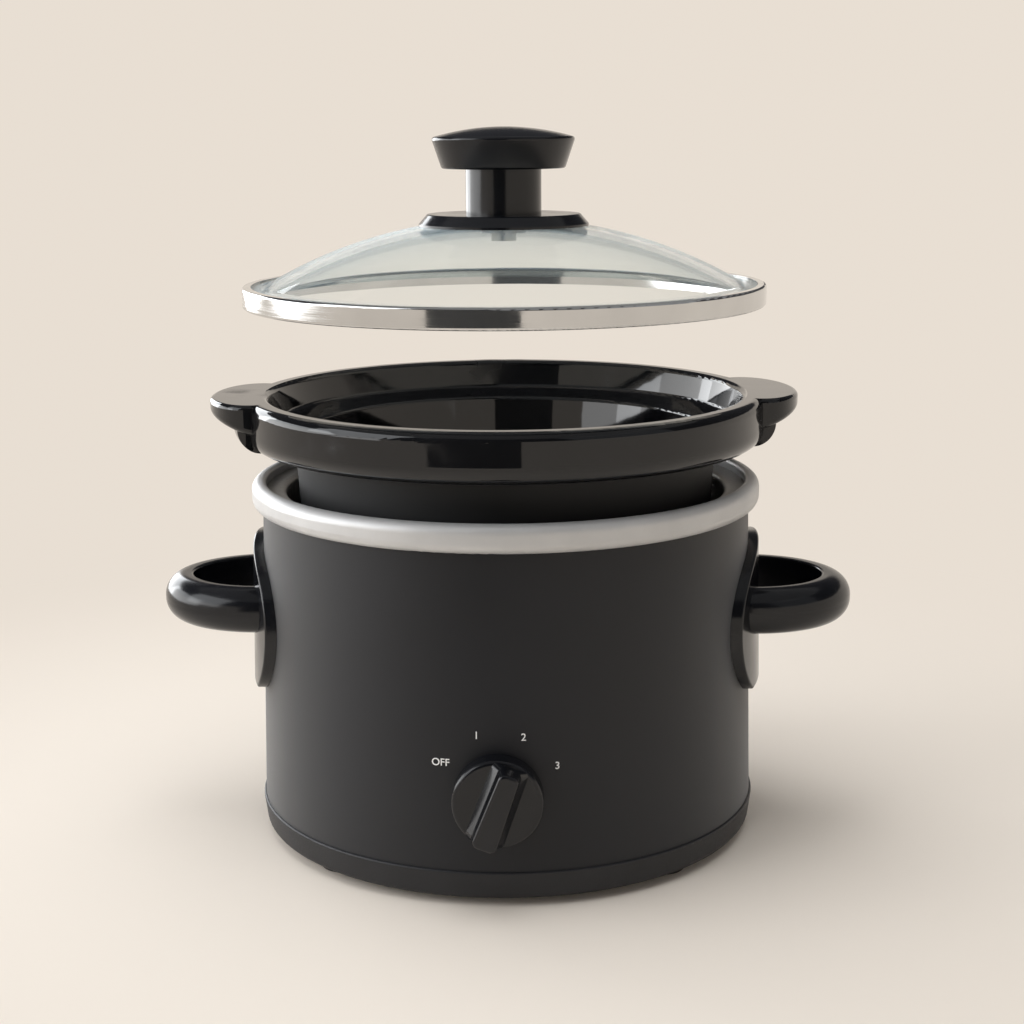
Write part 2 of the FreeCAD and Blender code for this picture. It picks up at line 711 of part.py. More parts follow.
def handle_plate():
    """Shield that lies on the shell round the handle's roots."""
    low = HANDLE_HEIGHT - PLATE_DROP
    shoulder = HANDLE_HEIGHT + PLATE_SHOULDER
    high = HANDLE_HEIGHT + PLATE_RISE
    waist = HANDLE_HEIGHT - PLATE_WAIST_DROP
    foot = PLATE_FOOT_WIDTH / 2
    head = PLATE_HEAD_WIDTH / 2
    wide = PLATE_WIDTH / 2
    edges = [
        Part.makeLine(V(0, -foot, low), V(0, foot, low)),
        Part.Arc(V(0, foot, low), V(0, wide, waist), V(0, head, shoulder)).toShape(),
        Part.Arc(V(0, head, shoulder), V(0, 0, high), V(0, -head, shoulder)).toShape(),
        Part.Arc(V(0, -head, shoulder), V(0, -wide, waist), V(0, -foot, low)).toShape(),
    ]
    depth = shell_radius(low) + PLATE_WALL * 2
    slab = Part.Face(Part.Wire(edges)).extrude(OUTWARD * depth)
    slab = rounded(slab, PLATE_CORNER_ROUND, is_along_x)
    plate = slab.common(shell_cone(PLATE_WALL, low, high))
    return rounded(plate, PLATE_EDGE_ROUND, is_on_plate_face)


def is_along_x(edge):
    """Whether an edge runs through the plate's slab."""
    ends = [vertex.Point for vertex in edge.Vertexes]
    return len(ends) == 2 and abs(ends[0].x - ends[1].x) > PLATE_WALL


def is_on_plate_face(edge):
    """Whether an edge bounds the plate's outer face."""
    middle = edge.valueAt((edge.FirstParameter + edge.LastParameter) / 2)
    reach = math.hypot(middle.x, middle.y) - shell_radius(middle.z)
    return abs(reach - PLATE_WALL) < SLIP_FIT


def right_handle():
    low = HANDLE_HEIGHT - PLATE_DROP
    high = HANDLE_HEIGHT + PLATE_RISE
    handle = handle_plate().fuse(handle_loop()).cut(shell_cone(SLIP_FIT, low, high))
    face = OUTWARD * shell_radius(HANDLE_HEIGHT)
    for spot in handle_screw_spots():
        pilot = rod(HANDLE_SCREW_RADIUS + SLIP_FIT / 2, spot, spot + face + OUTWARD * HANDLE_SCREW_DEPTH)
        handle = handle.cut(pilot)
    return outermost(handle)


def outermost(shape):
    """The solid of a cut shape that reaches furthest out."""
    return max(shape.Solids, key=lambda solid: solid.BoundBox.XMax)


def washer_face_x():
    """Flat inner face of the handle washers."""
    bore = shell_radius(HANDLE_HEIGHT + HANDLE_WASHER_RADIUS) - SHELL_WALL
    edge = abs(handle_screw_spots()[0].y) + HANDLE_WASHER_RADIUS
    return math.sqrt(bore**2 - edge**2) - HANDLE_WASHER_WALL


def handle_washers():
    reach = HANDLE_WASHER_RADIUS * 2
    inside = shell_cone(-SHELL_WALL - SLIP_FIT / 2, HANDLE_HEIGHT - reach, HANDLE_HEIGHT + reach)
    face = OUTWARD * washer_face_x()
    beyond = OUTWARD * shell_radius(HANDLE_HEIGHT)
    washers = []
    for spot in handle_screw_spots():
        saddle = rod(HANDLE_WASHER_RADIUS, spot + face, spot + beyond).common(inside)
        saddle = saddle.cut(rod(HANDLE_SCREW_RADIUS + SLIP_FIT, spot, spot + beyond)).Solids[0]
        washers += [saddle, mirrored(saddle)]
    return washers


def handle_screws():
    face = OUTWARD * washer_face_x()
    tip = OUTWARD * (shell_radius(HANDLE_HEIGHT) + HANDLE_SCREW_DEPTH - HANDLE_SCREW_RADIUS)
    screws = []
    for spot in handle_screw_spots():
        bearing = spot + face
        head = rod(HANDLE_SCREW_HEAD_RADIUS, bearing - OUTWARD * HANDLE_SCREW_HEAD_HEIGHT, bearing)
        screw = head.fuse(rod(HANDLE_SCREW_RADIUS, bearing, spot + tip)).removeSplitter()
        screws += [screw, mirrored(screw)]
    return screws


# Dial and rotary switch

def on_dial(forward, up, across=0):
    """Point in front of the dial's back face, up along its pointer and across it."""
    turn = math.radians(DIAL_REST_ANGLE)
    x = up * math.sin(turn) + across * math.cos(turn)
    z = up * math.cos(turn) - across * math.sin(turn)
    return V(x, DIAL_BACK_Y - forward, DIAL_HEIGHT + z)


def shaft_bar(gap, start_y, end_y):
    """Length of the dial's shaft with its flat, grown by a gap all round."""
    bar = rod(SHAFT_RADIUS + gap, V(0, start_y, DIAL_HEIGHT), V(0, end_y, DIAL_HEIGHT))
    flat_z = DIAL_HEIGHT + SHAFT_RADIUS - SHAFT_FLAT + gap
    wide = SHAFT_RADIUS * 2
    return bar.cut(block((-wide, wide), (start_y, end_y), (flat_z, flat_z + wide)))


def grip_outline(forward, tip_width, tail_width, reach):
    """Outline of the dial's grip at a height above the dial's back, narrower at its tip."""
    return outline(
        [
            (reach, -tip_width / 2, GRIP_CORNER_ROUND),
            (reach, tip_width / 2, GRIP_CORNER_ROUND),
            (-reach, tail_width / 2, GRIP_CORNER_ROUND),
            (-reach, -tail_width / 2, GRIP_CORNER_ROUND),
        ],
        lambda up, across: on_dial(forward, up, across),
    )


def dial_knob():
    disc = rod(DIAL_RADIUS, on_dial(0, 0), on_dial(DIAL_DISC, 0))
    front_y = DIAL_BACK_Y - DIAL_DISC
    disc = rounded(disc, DIAL_ROUND, lambda edge: edge.BoundBox.YMax < front_y + SLIP_FIT)
    reach = DIAL_RADIUS - GRIP_INSET
    sunk = DIAL_DISC - DIAL_ROUND
    foot = grip_outline(sunk, GRIP_TIP_FOOT_WIDTH, GRIP_TAIL_FOOT_WIDTH, reach)
    waist_forward = DIAL_DISC + GRIP_WAIST_HEIGHT
    waist = grip_outline(waist_forward, GRIP_TIP_WAIST_WIDTH, GRIP_TAIL_WAIST_WIDTH, reach)
    top = grip_outline(DIAL_DISC + GRIP_HEIGHT, GRIP_TIP_WIDTH, GRIP_TAIL_WIDTH, reach - GRIP_DRAFT)
    grip = Part.makeLoft([foot, waist, top], True, True)
    top_y = DIAL_BACK_Y - DIAL_DISC - GRIP_HEIGHT
    grip = rounded(grip, GRIP_EDGE_ROUND, lambda edge: edge.BoundBox.YMax < top_y + SLIP_FIT)
    knob = disc.fuse(grip)
    return knob.cut(shaft_bar(SLIP_FIT / 2, DIAL_BACK_Y - SHAFT_GRIP, DIAL_BACK_Y)).removeSplitter()


def shaft_end_y():
    """Inner end of the shaft, just short of the switch's cover."""
    return COVER_Y - SLIP_FIT


def dial_shaft():
    shaft = rod(SHAFT_RADIUS, V(0, DIAL_BACK_Y, DIAL_HEIGHT), V(0, shaft_end_y(), DIAL_HEIGHT))
    tip = DIAL_BACK_Y - SHAFT_GRIP + SLIP_FIT
    return shaft.fuse(shaft_bar(0, tip, DIAL_BACK_Y)).removeSplitter()


def switch_rotor():
    start = V(0, HOUSING_FRONT_Y + SWITCH_WALL + CONTACT_GAP, DIAL_HEIGHT)
    end = start + REARWARD * ROTOR_WIDTH
    rotor = rod(ROTOR_RADIUS, start, end)
    for step in range(ROTOR_STEPS):
        spoke = V(0, 0, ROTOR_RADIUS)
        spot = FreeCAD.Rotation(REARWARD, DIAL_REST_ANGLE + 360 / ROTOR_STEPS * step).multVec(spoke)
        rotor = rotor.cut(rod(ROTOR_NOTCH_RADIUS, start + spot, end + spot))
    return rotor.cut(rod(SHAFT_RADIUS, start, end))


def switch_housing():
    x = SWITCH_WIDTH / 2
    z = SWITCH_HEIGHT / 2
    case = block((-x, x), (HOUSING_FRONT_Y, COVER_Y), (DIAL_HEIGHT - z, DIAL_HEIGHT + z))
    x -= SWITCH_WALL
    z -= SWITCH_WALL
    room = block((-x, x), (HOUSING_FRONT_Y + SWITCH_WALL, COVER_Y), (DIAL_HEIGHT - z, DIAL_HEIGHT + z))
    axis = V(0, HOUSING_FRONT_Y, DIAL_HEIGHT)
    nose = rod(BUSHING_RADIUS, axis - REARWARD * BUSHING_LENGTH, axis)
    bore = rod(
        SHAFT_RADIUS + RUNNING_FIT, axis - REARWARD * BUSHING_LENGTH, axis + REARWARD * SWITCH_WALL
    )
    return case.cut(room).fuse(nose).cut(bore).removeSplitter()


def terminal_spots():
    """Centres of the four terminals, as (side, level) and the (x, z) place on the switch's back."""
    for side in (-1, 1):
        for level in (-1, 1):
            yield side, level, side * CONTACT_X, DIAL_HEIGHT + level * TERMINAL_SPACING / 2


def terminal_end(side, level):
    """Rear end of a terminal, where its wire starts."""
    return V(side * CONTACT_X, TERMINAL_END_Y, DIAL_HEIGHT + level * TERMINAL_SPACING / 2)


def centred_block(x, z, wide, y, high):
    return block((x - wide / 2, x + wide / 2), y, (z - high / 2, z + high / 2))


def switch_cover():
    x = SWITCH_WIDTH / 2
    z = SWITCH_HEIGHT / 2
    cover = block((-x, x), (COVER_Y, COVER_REAR_Y), (DIAL_HEIGHT - z, DIAL_HEIGHT + z))
    for _, _, slot_x, slot_z in terminal_spots():
        wide = TERMINAL_WALL + SLIP_FIT
        high = TERMINAL_HEIGHT + SLIP_FIT
        cover = cover.cut(centred_block(slot_x, slot_z, wide, (COVER_Y, COVER_REAR_Y), high))
    return cover


def switch_contacts():
    span = (HOUSING_FRONT_Y + SWITCH_WALL + CONTACT_END_GAP, COVER_Y)
    return [
        centred_block(x, z, CONTACT_WALL, span, CONTACT_HEIGHT) for _, _, x, z in terminal_spots()
    ]


def switch_terminals():
    span = (COVER_Y, TERMINAL_END_Y)
    return [
        centred_block(x, z, TERMINAL_WALL, span, TERMINAL_HEIGHT) for _, _, x, z in terminal_spots()
    ]


def switch_nut():
    start = V(0, SWITCH_FRONT_Y, DIAL_HEIGHT)
    way = REARWARD * -SWITCH_NUT_HEIGHT
    return hexagon(SWITCH_NUT_FLATS, start, way).cut(
        rod(BUSHING_RADIUS + SLIP_FIT / 2, start, start + way)
    )


def switch_bracket():
    x = (-BRACKET_WIDTH / 2, BRACKET_WIDTH / 2)
    top = DIAL_HEIGHT + SWITCH_HEIGHT / 2
    wall = block(x, (SWITCH_FRONT_Y, HOUSING_FRONT_Y), (BOSS_TOP_Z, top))
    foot = block(
        x, (SWITCH_FRONT_Y, SWITCH_FRONT_Y + BRACKET_FOOT), (BOSS_TOP_Z, BOSS_TOP_Z + BRACKET_WALL)
    )
    bracket = wall.fuse(foot)
    for place in bracket_screw_places():
        bracket = bracket.cut(rod(TRAY_SCREW_RADIUS + SLIP_FIT, place, place + UP * BRACKET_WALL))
    window_front = V(0, SWITCH_FRONT_Y, DIAL_HEIGHT)
    window_rear = V(0, HOUSING_FRONT_Y, DIAL_HEIGHT)
    window = rod(BUSHING_RADIUS + SLIP_FIT, window_front, window_rear)
    return bracket.cut(window).removeSplitter()


def tray_screw(place, grip):
    """Pan-head screw that holds a piece of thickness grip down on a tray boss."""
    bearing = place + UP * grip
    shank = rod(TRAY_SCREW_RADIUS, place - UP * (TRAY_SCREW_DEPTH - SLIP_FIT), bearing)
    head = rod(TRAY_SCREW_HEAD_RADIUS, bearing, bearing + UP * TRAY_SCREW_HEAD_HEIGHT)
    return shank.fuse(head).removeSplitter()


def bracket_screws():
    return [tray_screw(place, BRACKET_WALL) for place in bracket_screw_places()]


# Terminal block, fuse and wiring

def post_spots():
    """Tops of the two wire posts on the terminal block."""
    top = BOSS_TOP_Z + BLOCK_HEIGHT
    return [V(side * BLOCK_POST_SPACING / 2, BLOCK_PLACE, top) for side in (-1, 1)]


def terminal_block():
    x = BLOCK_LENGTH / 2
    y = BLOCK_DEPTH / 2
    top = BOSS_TOP_Z + BLOCK_HEIGHT
    body = block((-x, x), (BLOCK_PLACE - y, BLOCK_PLACE + y), (BOSS_TOP_Z, top))
    place = block_screw_place()
    body = body.cut(rod(TRAY_SCREW_RADIUS + SLIP_FIT, place, place + UP * BLOCK_HEIGHT))
    for spot in post_spots():
        body = body.cut(rod(POST_SCREW_RADIUS + SLIP_FIT, spot - UP * POST_WELL_DEPTH, spot))
    return body


def block_screw():
    return tray_screw(block_screw_place(), BLOCK_HEIGHT)


def terminal_screws():
    screws = []
    for spot in post_spots():
        foot = spot - UP * POST_WELL_DEPTH
        screws.append(rod(POST_SCREW_RADIUS, foot, foot + UP * POST_SCREW_HEIGHT))
    return screws


def fuse_end(along):
    """Point on the fuse's axis, a distance back from its front end."""
    return V(FUSE_OFFSET, FUSE_FRONT + along, FUSE_Z)


def thermal_fuse():
    return rod(FUSE_RADIUS, fuse_end(0), fuse_end(FUSE_LENGTH))


def fuse_clip():
    start = FUSE_FRONT + (FUSE_LENGTH - CLIP_LENGTH) / 2
    y = (start, start + CLIP_LENGTH)
    bore = FUSE_RADIUS + SLIP_FIT
    half = bore + CLIP_WALL
    hood_low = FUSE_Z - half
    hood = block((FUSE_OFFSET - half, FUSE_OFFSET + half), y, (hood_low, LINER_LOW_Z))
    wide = half + CLIP_FLANGE
    flange = block(
        (FUSE_OFFSET - wide, FUSE_OFFSET + wide), y, (LINER_LOW_Z - CLIP_WALL, LINER_LOW_Z)
    )
    seat = rod(bore, fuse_end(0), fuse_end(FUSE_LENGTH))
    mouth = block((FUSE_OFFSET - bore, FUSE_OFFSET + bore), y, (FUSE_Z, LINER_LOW_Z))
    return hood.fuse(flange).cut(seat).cut(mouth).removeSplitter()


def lead(points):
    """Insulated wire along straight runs joined by round bends."""
    edges = []
    start = points[0]
    for before, at, after in zip(points, points[1:], points[2:]):
        first, middle, last = corner(before, at, after, WIRE_BEND)
        edges.append(Part.makeLine(start, first))
        edges.append(Part.Arc(first, middle, last).toShape())
        start = last
    edges.append(Part.makeLine(start, points[-1]))
    section = Part.Wire(Part.makeCircle(WIRE_RADIUS, points[0], points[1] - points[0]))
    return Part.Wire(edges).makePipeShell([section], True, False)


def low_wire():
    start = terminal_end(1, 1)
    end = heater_tab_end(LOW_TAB_ANGLE)
    bend = end + V(-SUPPLY_BEND_IN, SUPPLY_BEND_BACK, -SUPPLY_BEND_DROP)
    return lead([start, start + REARWARD * TERMINAL_RUN, bend, end - UP * TAB_RUN, end])


def high_wire():
    start = terminal_end(-1, 1)
    end = heater_tab_end(HIGH_TAB_ANGLE)
    bend = end + V(SUPPLY_BEND_IN, SUPPLY_BEND_BACK, -SUPPLY_BEND_DROP)
    return lead([start, start + REARWARD * TERMINAL_RUN, bend, end - UP * TAB_RUN, end])


def warm_wire():
    start = terminal_end(1, -1)
    end = heater_tab_end(WARM_TAB_ANGLE)
    bend = end + V(-WARM_BEND_IN, WARM_BEND_BACK, -WARM_BEND_DROP)
    return lead([start, start + REARWARD * WARM_TERMINAL_RUN, bend, end - UP * WARM_TAB_RUN, end])


def fuse_wire():
    start = terminal_end(-1, -1)
    end = fuse_end(0)
    return lead([start, start + REARWARD * FUSE_RUN, end - REARWARD * FUSE_RUN, end])


def block_wire_start(side):
    """Front face of the terminal block below a wire post."""
    x = side * BLOCK_POST_SPACING / 2
    return V(x, BLOCK_PLACE - BLOCK_DEPTH / 2, BOSS_TOP_Z + BLOCK_WIRE_HEIGHT)


def live_wire():
    start = block_wire_start(-1)
    end = fuse_end(FUSE_LENGTH)
    bend = end + V(0, LIVE_BEND_BACK, -LIVE_BEND_DROP)
    return lead([start, start - REARWARD * BLOCK_RUN, bend, end + REARWARD * LIVE_FUSE_RUN, end])


def neutral_wire():
    start = block_wire_start(1)
    end = heater_tab_end(NEUTRAL_TAB_ANGLE)
    bend = end + V(-NEUTRAL_BEND_IN, -NEUTRAL_BEND_FRONT, -NEUTRAL_BEND_DROP)
    return lead([start, start - REARWARD * BLOCK_RUN, bend, end - UP * TAB_RUN, end])


def gland_faces():
    """Y of the gland's inner end, the two sides of its groove, and its outer end."""
    top = GLAND_Z + GLAND_FLANGE_RADIUS
    bore = shell_radius(top) - SHELL_WALL
    groove_in = math.sqrt(bore**2 - GLAND_FLANGE_RADIUS**2) - SLIP_FIT
    groove_out = shell_radius(TRAY_LEDGE_Z) + SLIP_FIT
    return groove_in - GLAND_FLANGE_WALL, groove_in, groove_out, groove_out + GLAND_FLANGE_WALL


def cord_gland():
    inner, groove_in, groove_out, outer = gland_faces()
    gland = tombstone(GLAND_RADIUS, inner, outer)
    gland = gland.fuse(tombstone(GLAND_FLANGE_RADIUS, inner, groove_in))
    gland = gland.fuse(tombstone(GLAND_FLANGE_RADIUS, groove_out, outer))
    start = V(0, inner, GLAND_Z)
    root = V(0, outer, GLAND_Z)
    end = root + REARWARD * GLAND_NECK_LENGTH
    gland = gland.fuse(rod(GLAND_NECK_RADIUS, root, end))
    gland = gland.cut(rod(GLAND_MOUTH_RADIUS, start, root))
    return gland.cut(rod(GLAND_BORE_RADIUS, root, end)).removeSplitter()


# Crock

def crock_bowl():
    ledge_z = CROCK_TOP_Z - CROCK_LEDGE_DEPTH
    ledge_inner_z = ledge_z - CROCK_LEDGE_FALL
    bore = CROCK_BODY_RADIUS - CROCK_WALL
    floor_z = CROCK_LOW_Z + CROCK_FLOOR
    return turned([
        (0, CROCK_LOW_Z),
        (CROCK_BODY_RADIUS - CROCK_TAPER, CROCK_LOW_Z, CROCK_BASE_ROUND),
        (CROCK_BODY_RADIUS, CROCK_BAND_Z, CROCK_NECK_ROUND),
        (CROCK_RIM_RADIUS, CROCK_BAND_Z, CROCK_BAND_LOW_ROUND),
        (CROCK_RIM_RADIUS, CROCK_TOP_Z, CROCK_BAND_TOP_ROUND),
        (CROCK_MOUTH_RADIUS, CROCK_TOP_Z, CROCK_MOUTH_ROUND),
        (CROCK_MOUTH_RADIUS - CROCK_RIM_SLOPE, ledge_z, CROCK_LEDGE_OUTER_ROUND),
        (bore + CROCK_THROAT_FLARE, ledge_inner_z, CROCK_LEDGE_INNER_ROUND),
        (bore, ledge_inner_z - CROCK_THROAT_DEPTH, CROCK_THROAT_ROUND),
        (bore - CROCK_INNER_TAPER, floor_z, CROCK_BASE_ROUND),
        (0, floor_z),
    ])


def crock_ear():
    """Lifting lug on the right of the rim, flush with the rim's top and thinner at its tip."""
    tip = CROCK_RIM_RADIUS + EAR_REACH
    tip_low = CROCK_TOP_Z - EAR_TIP_THICKNESS
    foot = V(tip - EAR_LENGTH / 2, 0, CROCK_BAND_Z)
    lobe = ellipse_bar(foot, EAR_LENGTH / 2, EAR_WIDTH / 2, CROCK_BAND_HEIGHT)
    ear = lobe.cut(ear_underside(tip, tip_low))
    ear = rounded(ear, EAR_TOP_ROUND, lambda edge: edge.isClosed() and edge.BoundBox.ZMin > tip_low)
    ear = rounded(ear, EAR_LOW_ROUND, lambda edge: edge.isClosed() and edge.BoundBox.ZMin < tip_low)
    core = rod(CROCK_RIM_RADIUS - CROCK_RIM_WIDTH / 2, V(0, 0, CROCK_BAND_Z), V(0, 0, CROCK_TOP_Z))
    return ear.cut(core).fuse(ear_root(foot))


def ear_underside(tip, tip_low):
    """Wedge of the space below the ear, whose top rises towards the tip."""
    slope = (EAR_ROOT_THICKNESS - EAR_TIP_THICKNESS) / EAR_REACH
    inner = tip - EAR_LENGTH - EAR_REACH
    outer = tip + EAR_REACH
    low = CROCK_BAND_Z - CROCK_BAND_HEIGHT
    points = [
        (inner, low),
        (outer, low),
        (outer, tip_low + slope * (outer - tip)),
        (inner, tip_low + slope * (inner - tip)),
    ]
    return extruded(points, lambda x, z: V(x, -EAR_WIDTH, z), REARWARD * EAR_WIDTH * 2)


def ear_root(foot):
    """Swelling of the band that carries the ear from below."""
    inner = CROCK_RIM_RADIUS - CROCK_RIM_WIDTH
    outer = CROCK_RIM_RADIUS + EAR_ROOT_REACH
    low = CROCK_BAND_Z + EAR_ROOT_RISE
    high = CROCK_TOP_Z - EAR_ROOT_THICKNESS + EAR_LOW_ROUND
    swelling = turned([
        (inner, low),
        (outer, low, EAR_ROOT_ROUND),
        (outer, high),
        (inner, high),
    ])
    lobe_x = EAR_LENGTH / 2 - EAR_LOW_ROUND
    lobe_y = EAR_WIDTH / 2 - EAR_LOW_ROUND
    return swelling.common(ellipse_bar(foot, lobe_x, lobe_y, CROCK_BAND_HEIGHT))


def crock():
    ear = crock_ear()
    other = turned_about_z(ear, 180)
    pot = crock_bowl().fuse(ear).fuse(other).removeSplitter()
    return turned_about_z(pot, CROCK_TURN)


# Lid

def lid_rim_band():
    lip_bore = LID_RADIUS - BAND_TOP_LIP
    floor_bore = LID_RADIUS - BAND_FLOOR_WIDTH
    glass_under = GLASS_TOP_Z - GLASS_WALL
    inside = LID_RADIUS - BAND_WALL
    return turned([
        (lip_bore, LID_TOP_Z),
        (LID_RADIUS, LID_TOP_Z, BAND_ROUND),
        (LID_RADIUS, LID_LOW_Z, BAND_ROUND),
        (floor_bore, LID_LOW_Z),
        (floor_bore, glass_under),
        (floor_bore + BAND_WALL, glass_under),
        (floor_bore + BAND_WALL, LID_LOW_Z + BAND_WALL),
        (inside, LID_LOW_Z + BAND_WALL, BAND_ROUND - BAND_WALL),
        (inside, LID_TOP_Z - BAND_WALL, BAND_ROUND - BAND_WALL),
        (lip_bore, LID_TOP_Z - BAND_WALL),
    ])


def lid_glass():
    edge_radius = LID_RADIUS - BAND_WALL - BAND_ROUND
    under_z = GLASS_TOP_Z - GLASS_WALL
    centre = V(0, 0, DOME_CENTRE_Z)
    brim = tube(DOME_FOOT_RADIUS - GLASS_WALL, edge_radius, under_z, GLASS_TOP_Z)
    ceiling = rod(edge_radius, V(0, 0, under_z), V(0, 0, DOME_TOP_Z + GLASS_WALL))
    dome = Part.makeSphere(DOME_RADIUS, centre).common(ceiling)
    hollow = Part.makeSphere(DOME_RADIUS - GLASS_WALL, centre)
    glass = dome.fuse(brim).cut(hollow)
    glass = glass.cut(rod(GLASS_HOLE_RADIUS, centre, V(0, 0, DOME_TOP_Z + GLASS_WALL)))
    return rounded(glass.removeSplitter(), GLASS_KNEE_ROUND, is_dome_knee)


def is_dome_knee(edge):
    """Whether an edge is the circle where the dome meets the flat brim from above."""
    box = edge.BoundBox
    level = box.ZLength < SLIP_FIT and abs(box.ZMax - GLASS_TOP_Z) < SLIP_FIT
    return level and abs(box.XMax - DOME_FOOT_RADIUS) < SLIP_FIT


# Lid knob

def knob_screw_hole(low, high):
    return rod(KNOB_SCREW_RADIUS + KNOB_SCREW_HOLE_GAP, V(0, 0, low), V(0, 0, high))


def lid_knob_base():
    seat = Part.makeSphere(DOME_RADIUS + SLIP_FIT, V(0, 0, DOME_CENTRE_Z))
    fall = DOME_RADIUS - math.sqrt(DOME_RADIUS**2 - KNOB_BASE_RADIUS**2)
    low = DOME_TOP_Z - fall
    top_radius = KNOB_BASE_RADIUS - KNOB_BASE_BEVEL
    disc = turned([
        (0, low),
        (KNOB_BASE_RADIUS, low),
        (KNOB_BASE_RADIUS, low + KNOB_BASE_EDGE),
        (top_radius, STEM_LOW_Z, KNOB_BASE_EDGE),
        (0, STEM_LOW_Z),
    ])
    return disc.cut(seat).cut(knob_screw_hole(low, STEM_LOW_Z))


def lid_knob_stem():
    return rod(KNOB_STEM_RADIUS, V(0, 0, STEM_LOW_Z), V(0, 0, CAP_LOW_Z)).cut(
        knob_screw_hole(STEM_LOW_Z, CAP_LOW_Z)
    )


def lid_knob_cap():
    brim_z = CAP_LOW_Z + KNOB_CAP_HEIGHT
    top_z = brim_z + KNOB_CAP_DOME
    crown = (KNOB_CAP_RADIUS**2 + KNOB_CAP_DOME**2) / (2 * KNOB_CAP_DOME)
    body = Part.makeCone(KNOB_CAP_FOOT_RADIUS, KNOB_CAP_RADIUS, KNOB_CAP_HEIGHT, V(0, 0, CAP_LOW_Z))
    body = body.fuse(rod(KNOB_CAP_RADIUS, V(0, 0, brim_z), V(0, 0, top_z)))
    body = body.common(Part.makeSphere(crown, V(0, 0, top_z - crown))).removeSplitter()
    body = rounded(body, KNOB_CAP_ROUND, lambda edge: edge.BoundBox.ZLength < SLIP_FIT)
    pocket_top = V(0, 0, CAP_LOW_Z + INSERT_LENGTH)
    return body.cut(rod(INSERT_RADIUS + SLIP_FIT / 2, V(0, 0, CAP_LOW_Z), pocket_top))


def lid_knob_insert():
    return tube(KNOB_SCREW_RADIUS + SLIP_FIT / 2, INSERT_RADIUS, CAP_LOW_Z, CAP_LOW_Z + INSERT_LENGTH)


def gasket_top_z():
    """Height where the gasket's outer edge meets the underside of the dome."""
    inner = DOME_RADIUS - GLASS_WALL
    return DOME_CENTRE_Z + math.sqrt(inner**2 - KNOB_WASHER_RADIUS**2)


def lid_knob_gasket():
    top = gasket_top_z()
    return tube(KNOB_SCREW_RADIUS + SLIP_FIT, KNOB_WASHER_RADIUS, top - KNOB_GASKET_WALL, top)


def lid_knob_washer():
    top = gasket_top_z() - KNOB_GASKET_WALL
    return tube(KNOB_SCREW_RADIUS + SLIP_FIT, KNOB_WASHER_RADIUS, top - KNOB_WASHER_WALL, top)


def lid_knob_screw():
    bearing = gasket_top_z() - KNOB_GASKET_WALL - KNOB_WASHER_WALL
    head = rod(KNOB_SCREW_HEAD_RADIUS, V(0, 0, bearing - KNOB_SCREW_HEAD_HEIGHT), V(0, 0, bearing))
    tip = CAP_LOW_Z + INSERT_LENGTH - KNOB_SCREW_HOLE_GAP
    return head.fuse(rod(KNOB_SCREW_RADIUS, V(0, 0, bearing), V(0, 0, tip))).removeSplitter()


def left_handle():
    return mirrored(right_handle())


PIECES = [
    lid_glass, lid_rim_band, lid_knob_cap, lid_knob_stem, lid_knob_base, lid_knob_insert,
    lid_knob_screw, lid_knob_washer, lid_knob_gasket,
    crock,
    outer_shell, rim_collar, inner_liner, heating_element, heater_straps, strap_screws,
    insulation_wrap, base_tray, rubber_feet, tie_stud, tie_washer, tie_nut,
    left_handle, right_handle, handle_screws, handle_washers,
    switch_housing, switch_cover, switch_contacts, switch_terminals, switch_nut, switch_bracket,
    bracket_screws, terminal_block, block_screw, terminal_screws, thermal_fuse, fuse_clip,
    live_wire, fuse_wire, low_wire, high_wire, warm_wire, neutral_wire, cord_gland,
    dial_knob, dial_shaft, switch_rotor,
]

os.makedirs("parts", exist_ok=True)
for piece in PIECES:
    made = piece()
    solids = made if isinstance(made, list) else made.Solids
    shape = solids[0] if len(solids) == 1 else Part.makeCompound(solids)
    shape.exportStep(f"parts/{piece.__name__}.step")
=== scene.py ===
import json
import math

import bpy
from mathutils import Matrix, Vector


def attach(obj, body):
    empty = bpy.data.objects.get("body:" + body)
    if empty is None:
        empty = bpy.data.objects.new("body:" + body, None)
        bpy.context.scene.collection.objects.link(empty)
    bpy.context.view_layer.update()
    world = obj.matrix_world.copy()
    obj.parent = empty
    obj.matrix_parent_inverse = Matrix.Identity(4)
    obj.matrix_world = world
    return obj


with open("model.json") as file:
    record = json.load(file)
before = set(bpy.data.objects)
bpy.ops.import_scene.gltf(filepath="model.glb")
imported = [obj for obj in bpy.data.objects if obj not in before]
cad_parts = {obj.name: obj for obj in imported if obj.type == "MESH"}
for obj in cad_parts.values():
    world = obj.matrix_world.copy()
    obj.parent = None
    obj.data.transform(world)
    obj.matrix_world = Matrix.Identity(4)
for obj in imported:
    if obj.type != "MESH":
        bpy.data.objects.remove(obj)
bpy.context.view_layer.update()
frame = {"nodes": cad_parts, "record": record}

# Camera, fitted to the photograph: metres, degrees, millimetres of lens and sensor, shift in picture widths
CAMERA_PLACE = (0.0254, -0.7264, 0.2845)
CAMERA_TILT = 77.93
CAMERA_TURN = 2.0
CAMERA_ROLL = -0.4
CAMERA_LENS = 63.19
CAMERA_SENSOR = 36.0
CAMERA_SHIFT = 0.006
CAMERA_NEAR = 0.01

# Outside of the shell, in metres: it draws in by its flare from its foot to its top
SHELL_FOOT_HEIGHT = 0.014
SHELL_FOOT_RADIUS = 0.102
SHELL_FLARE = 0.0028
SHELL_HEIGHT = 0.124

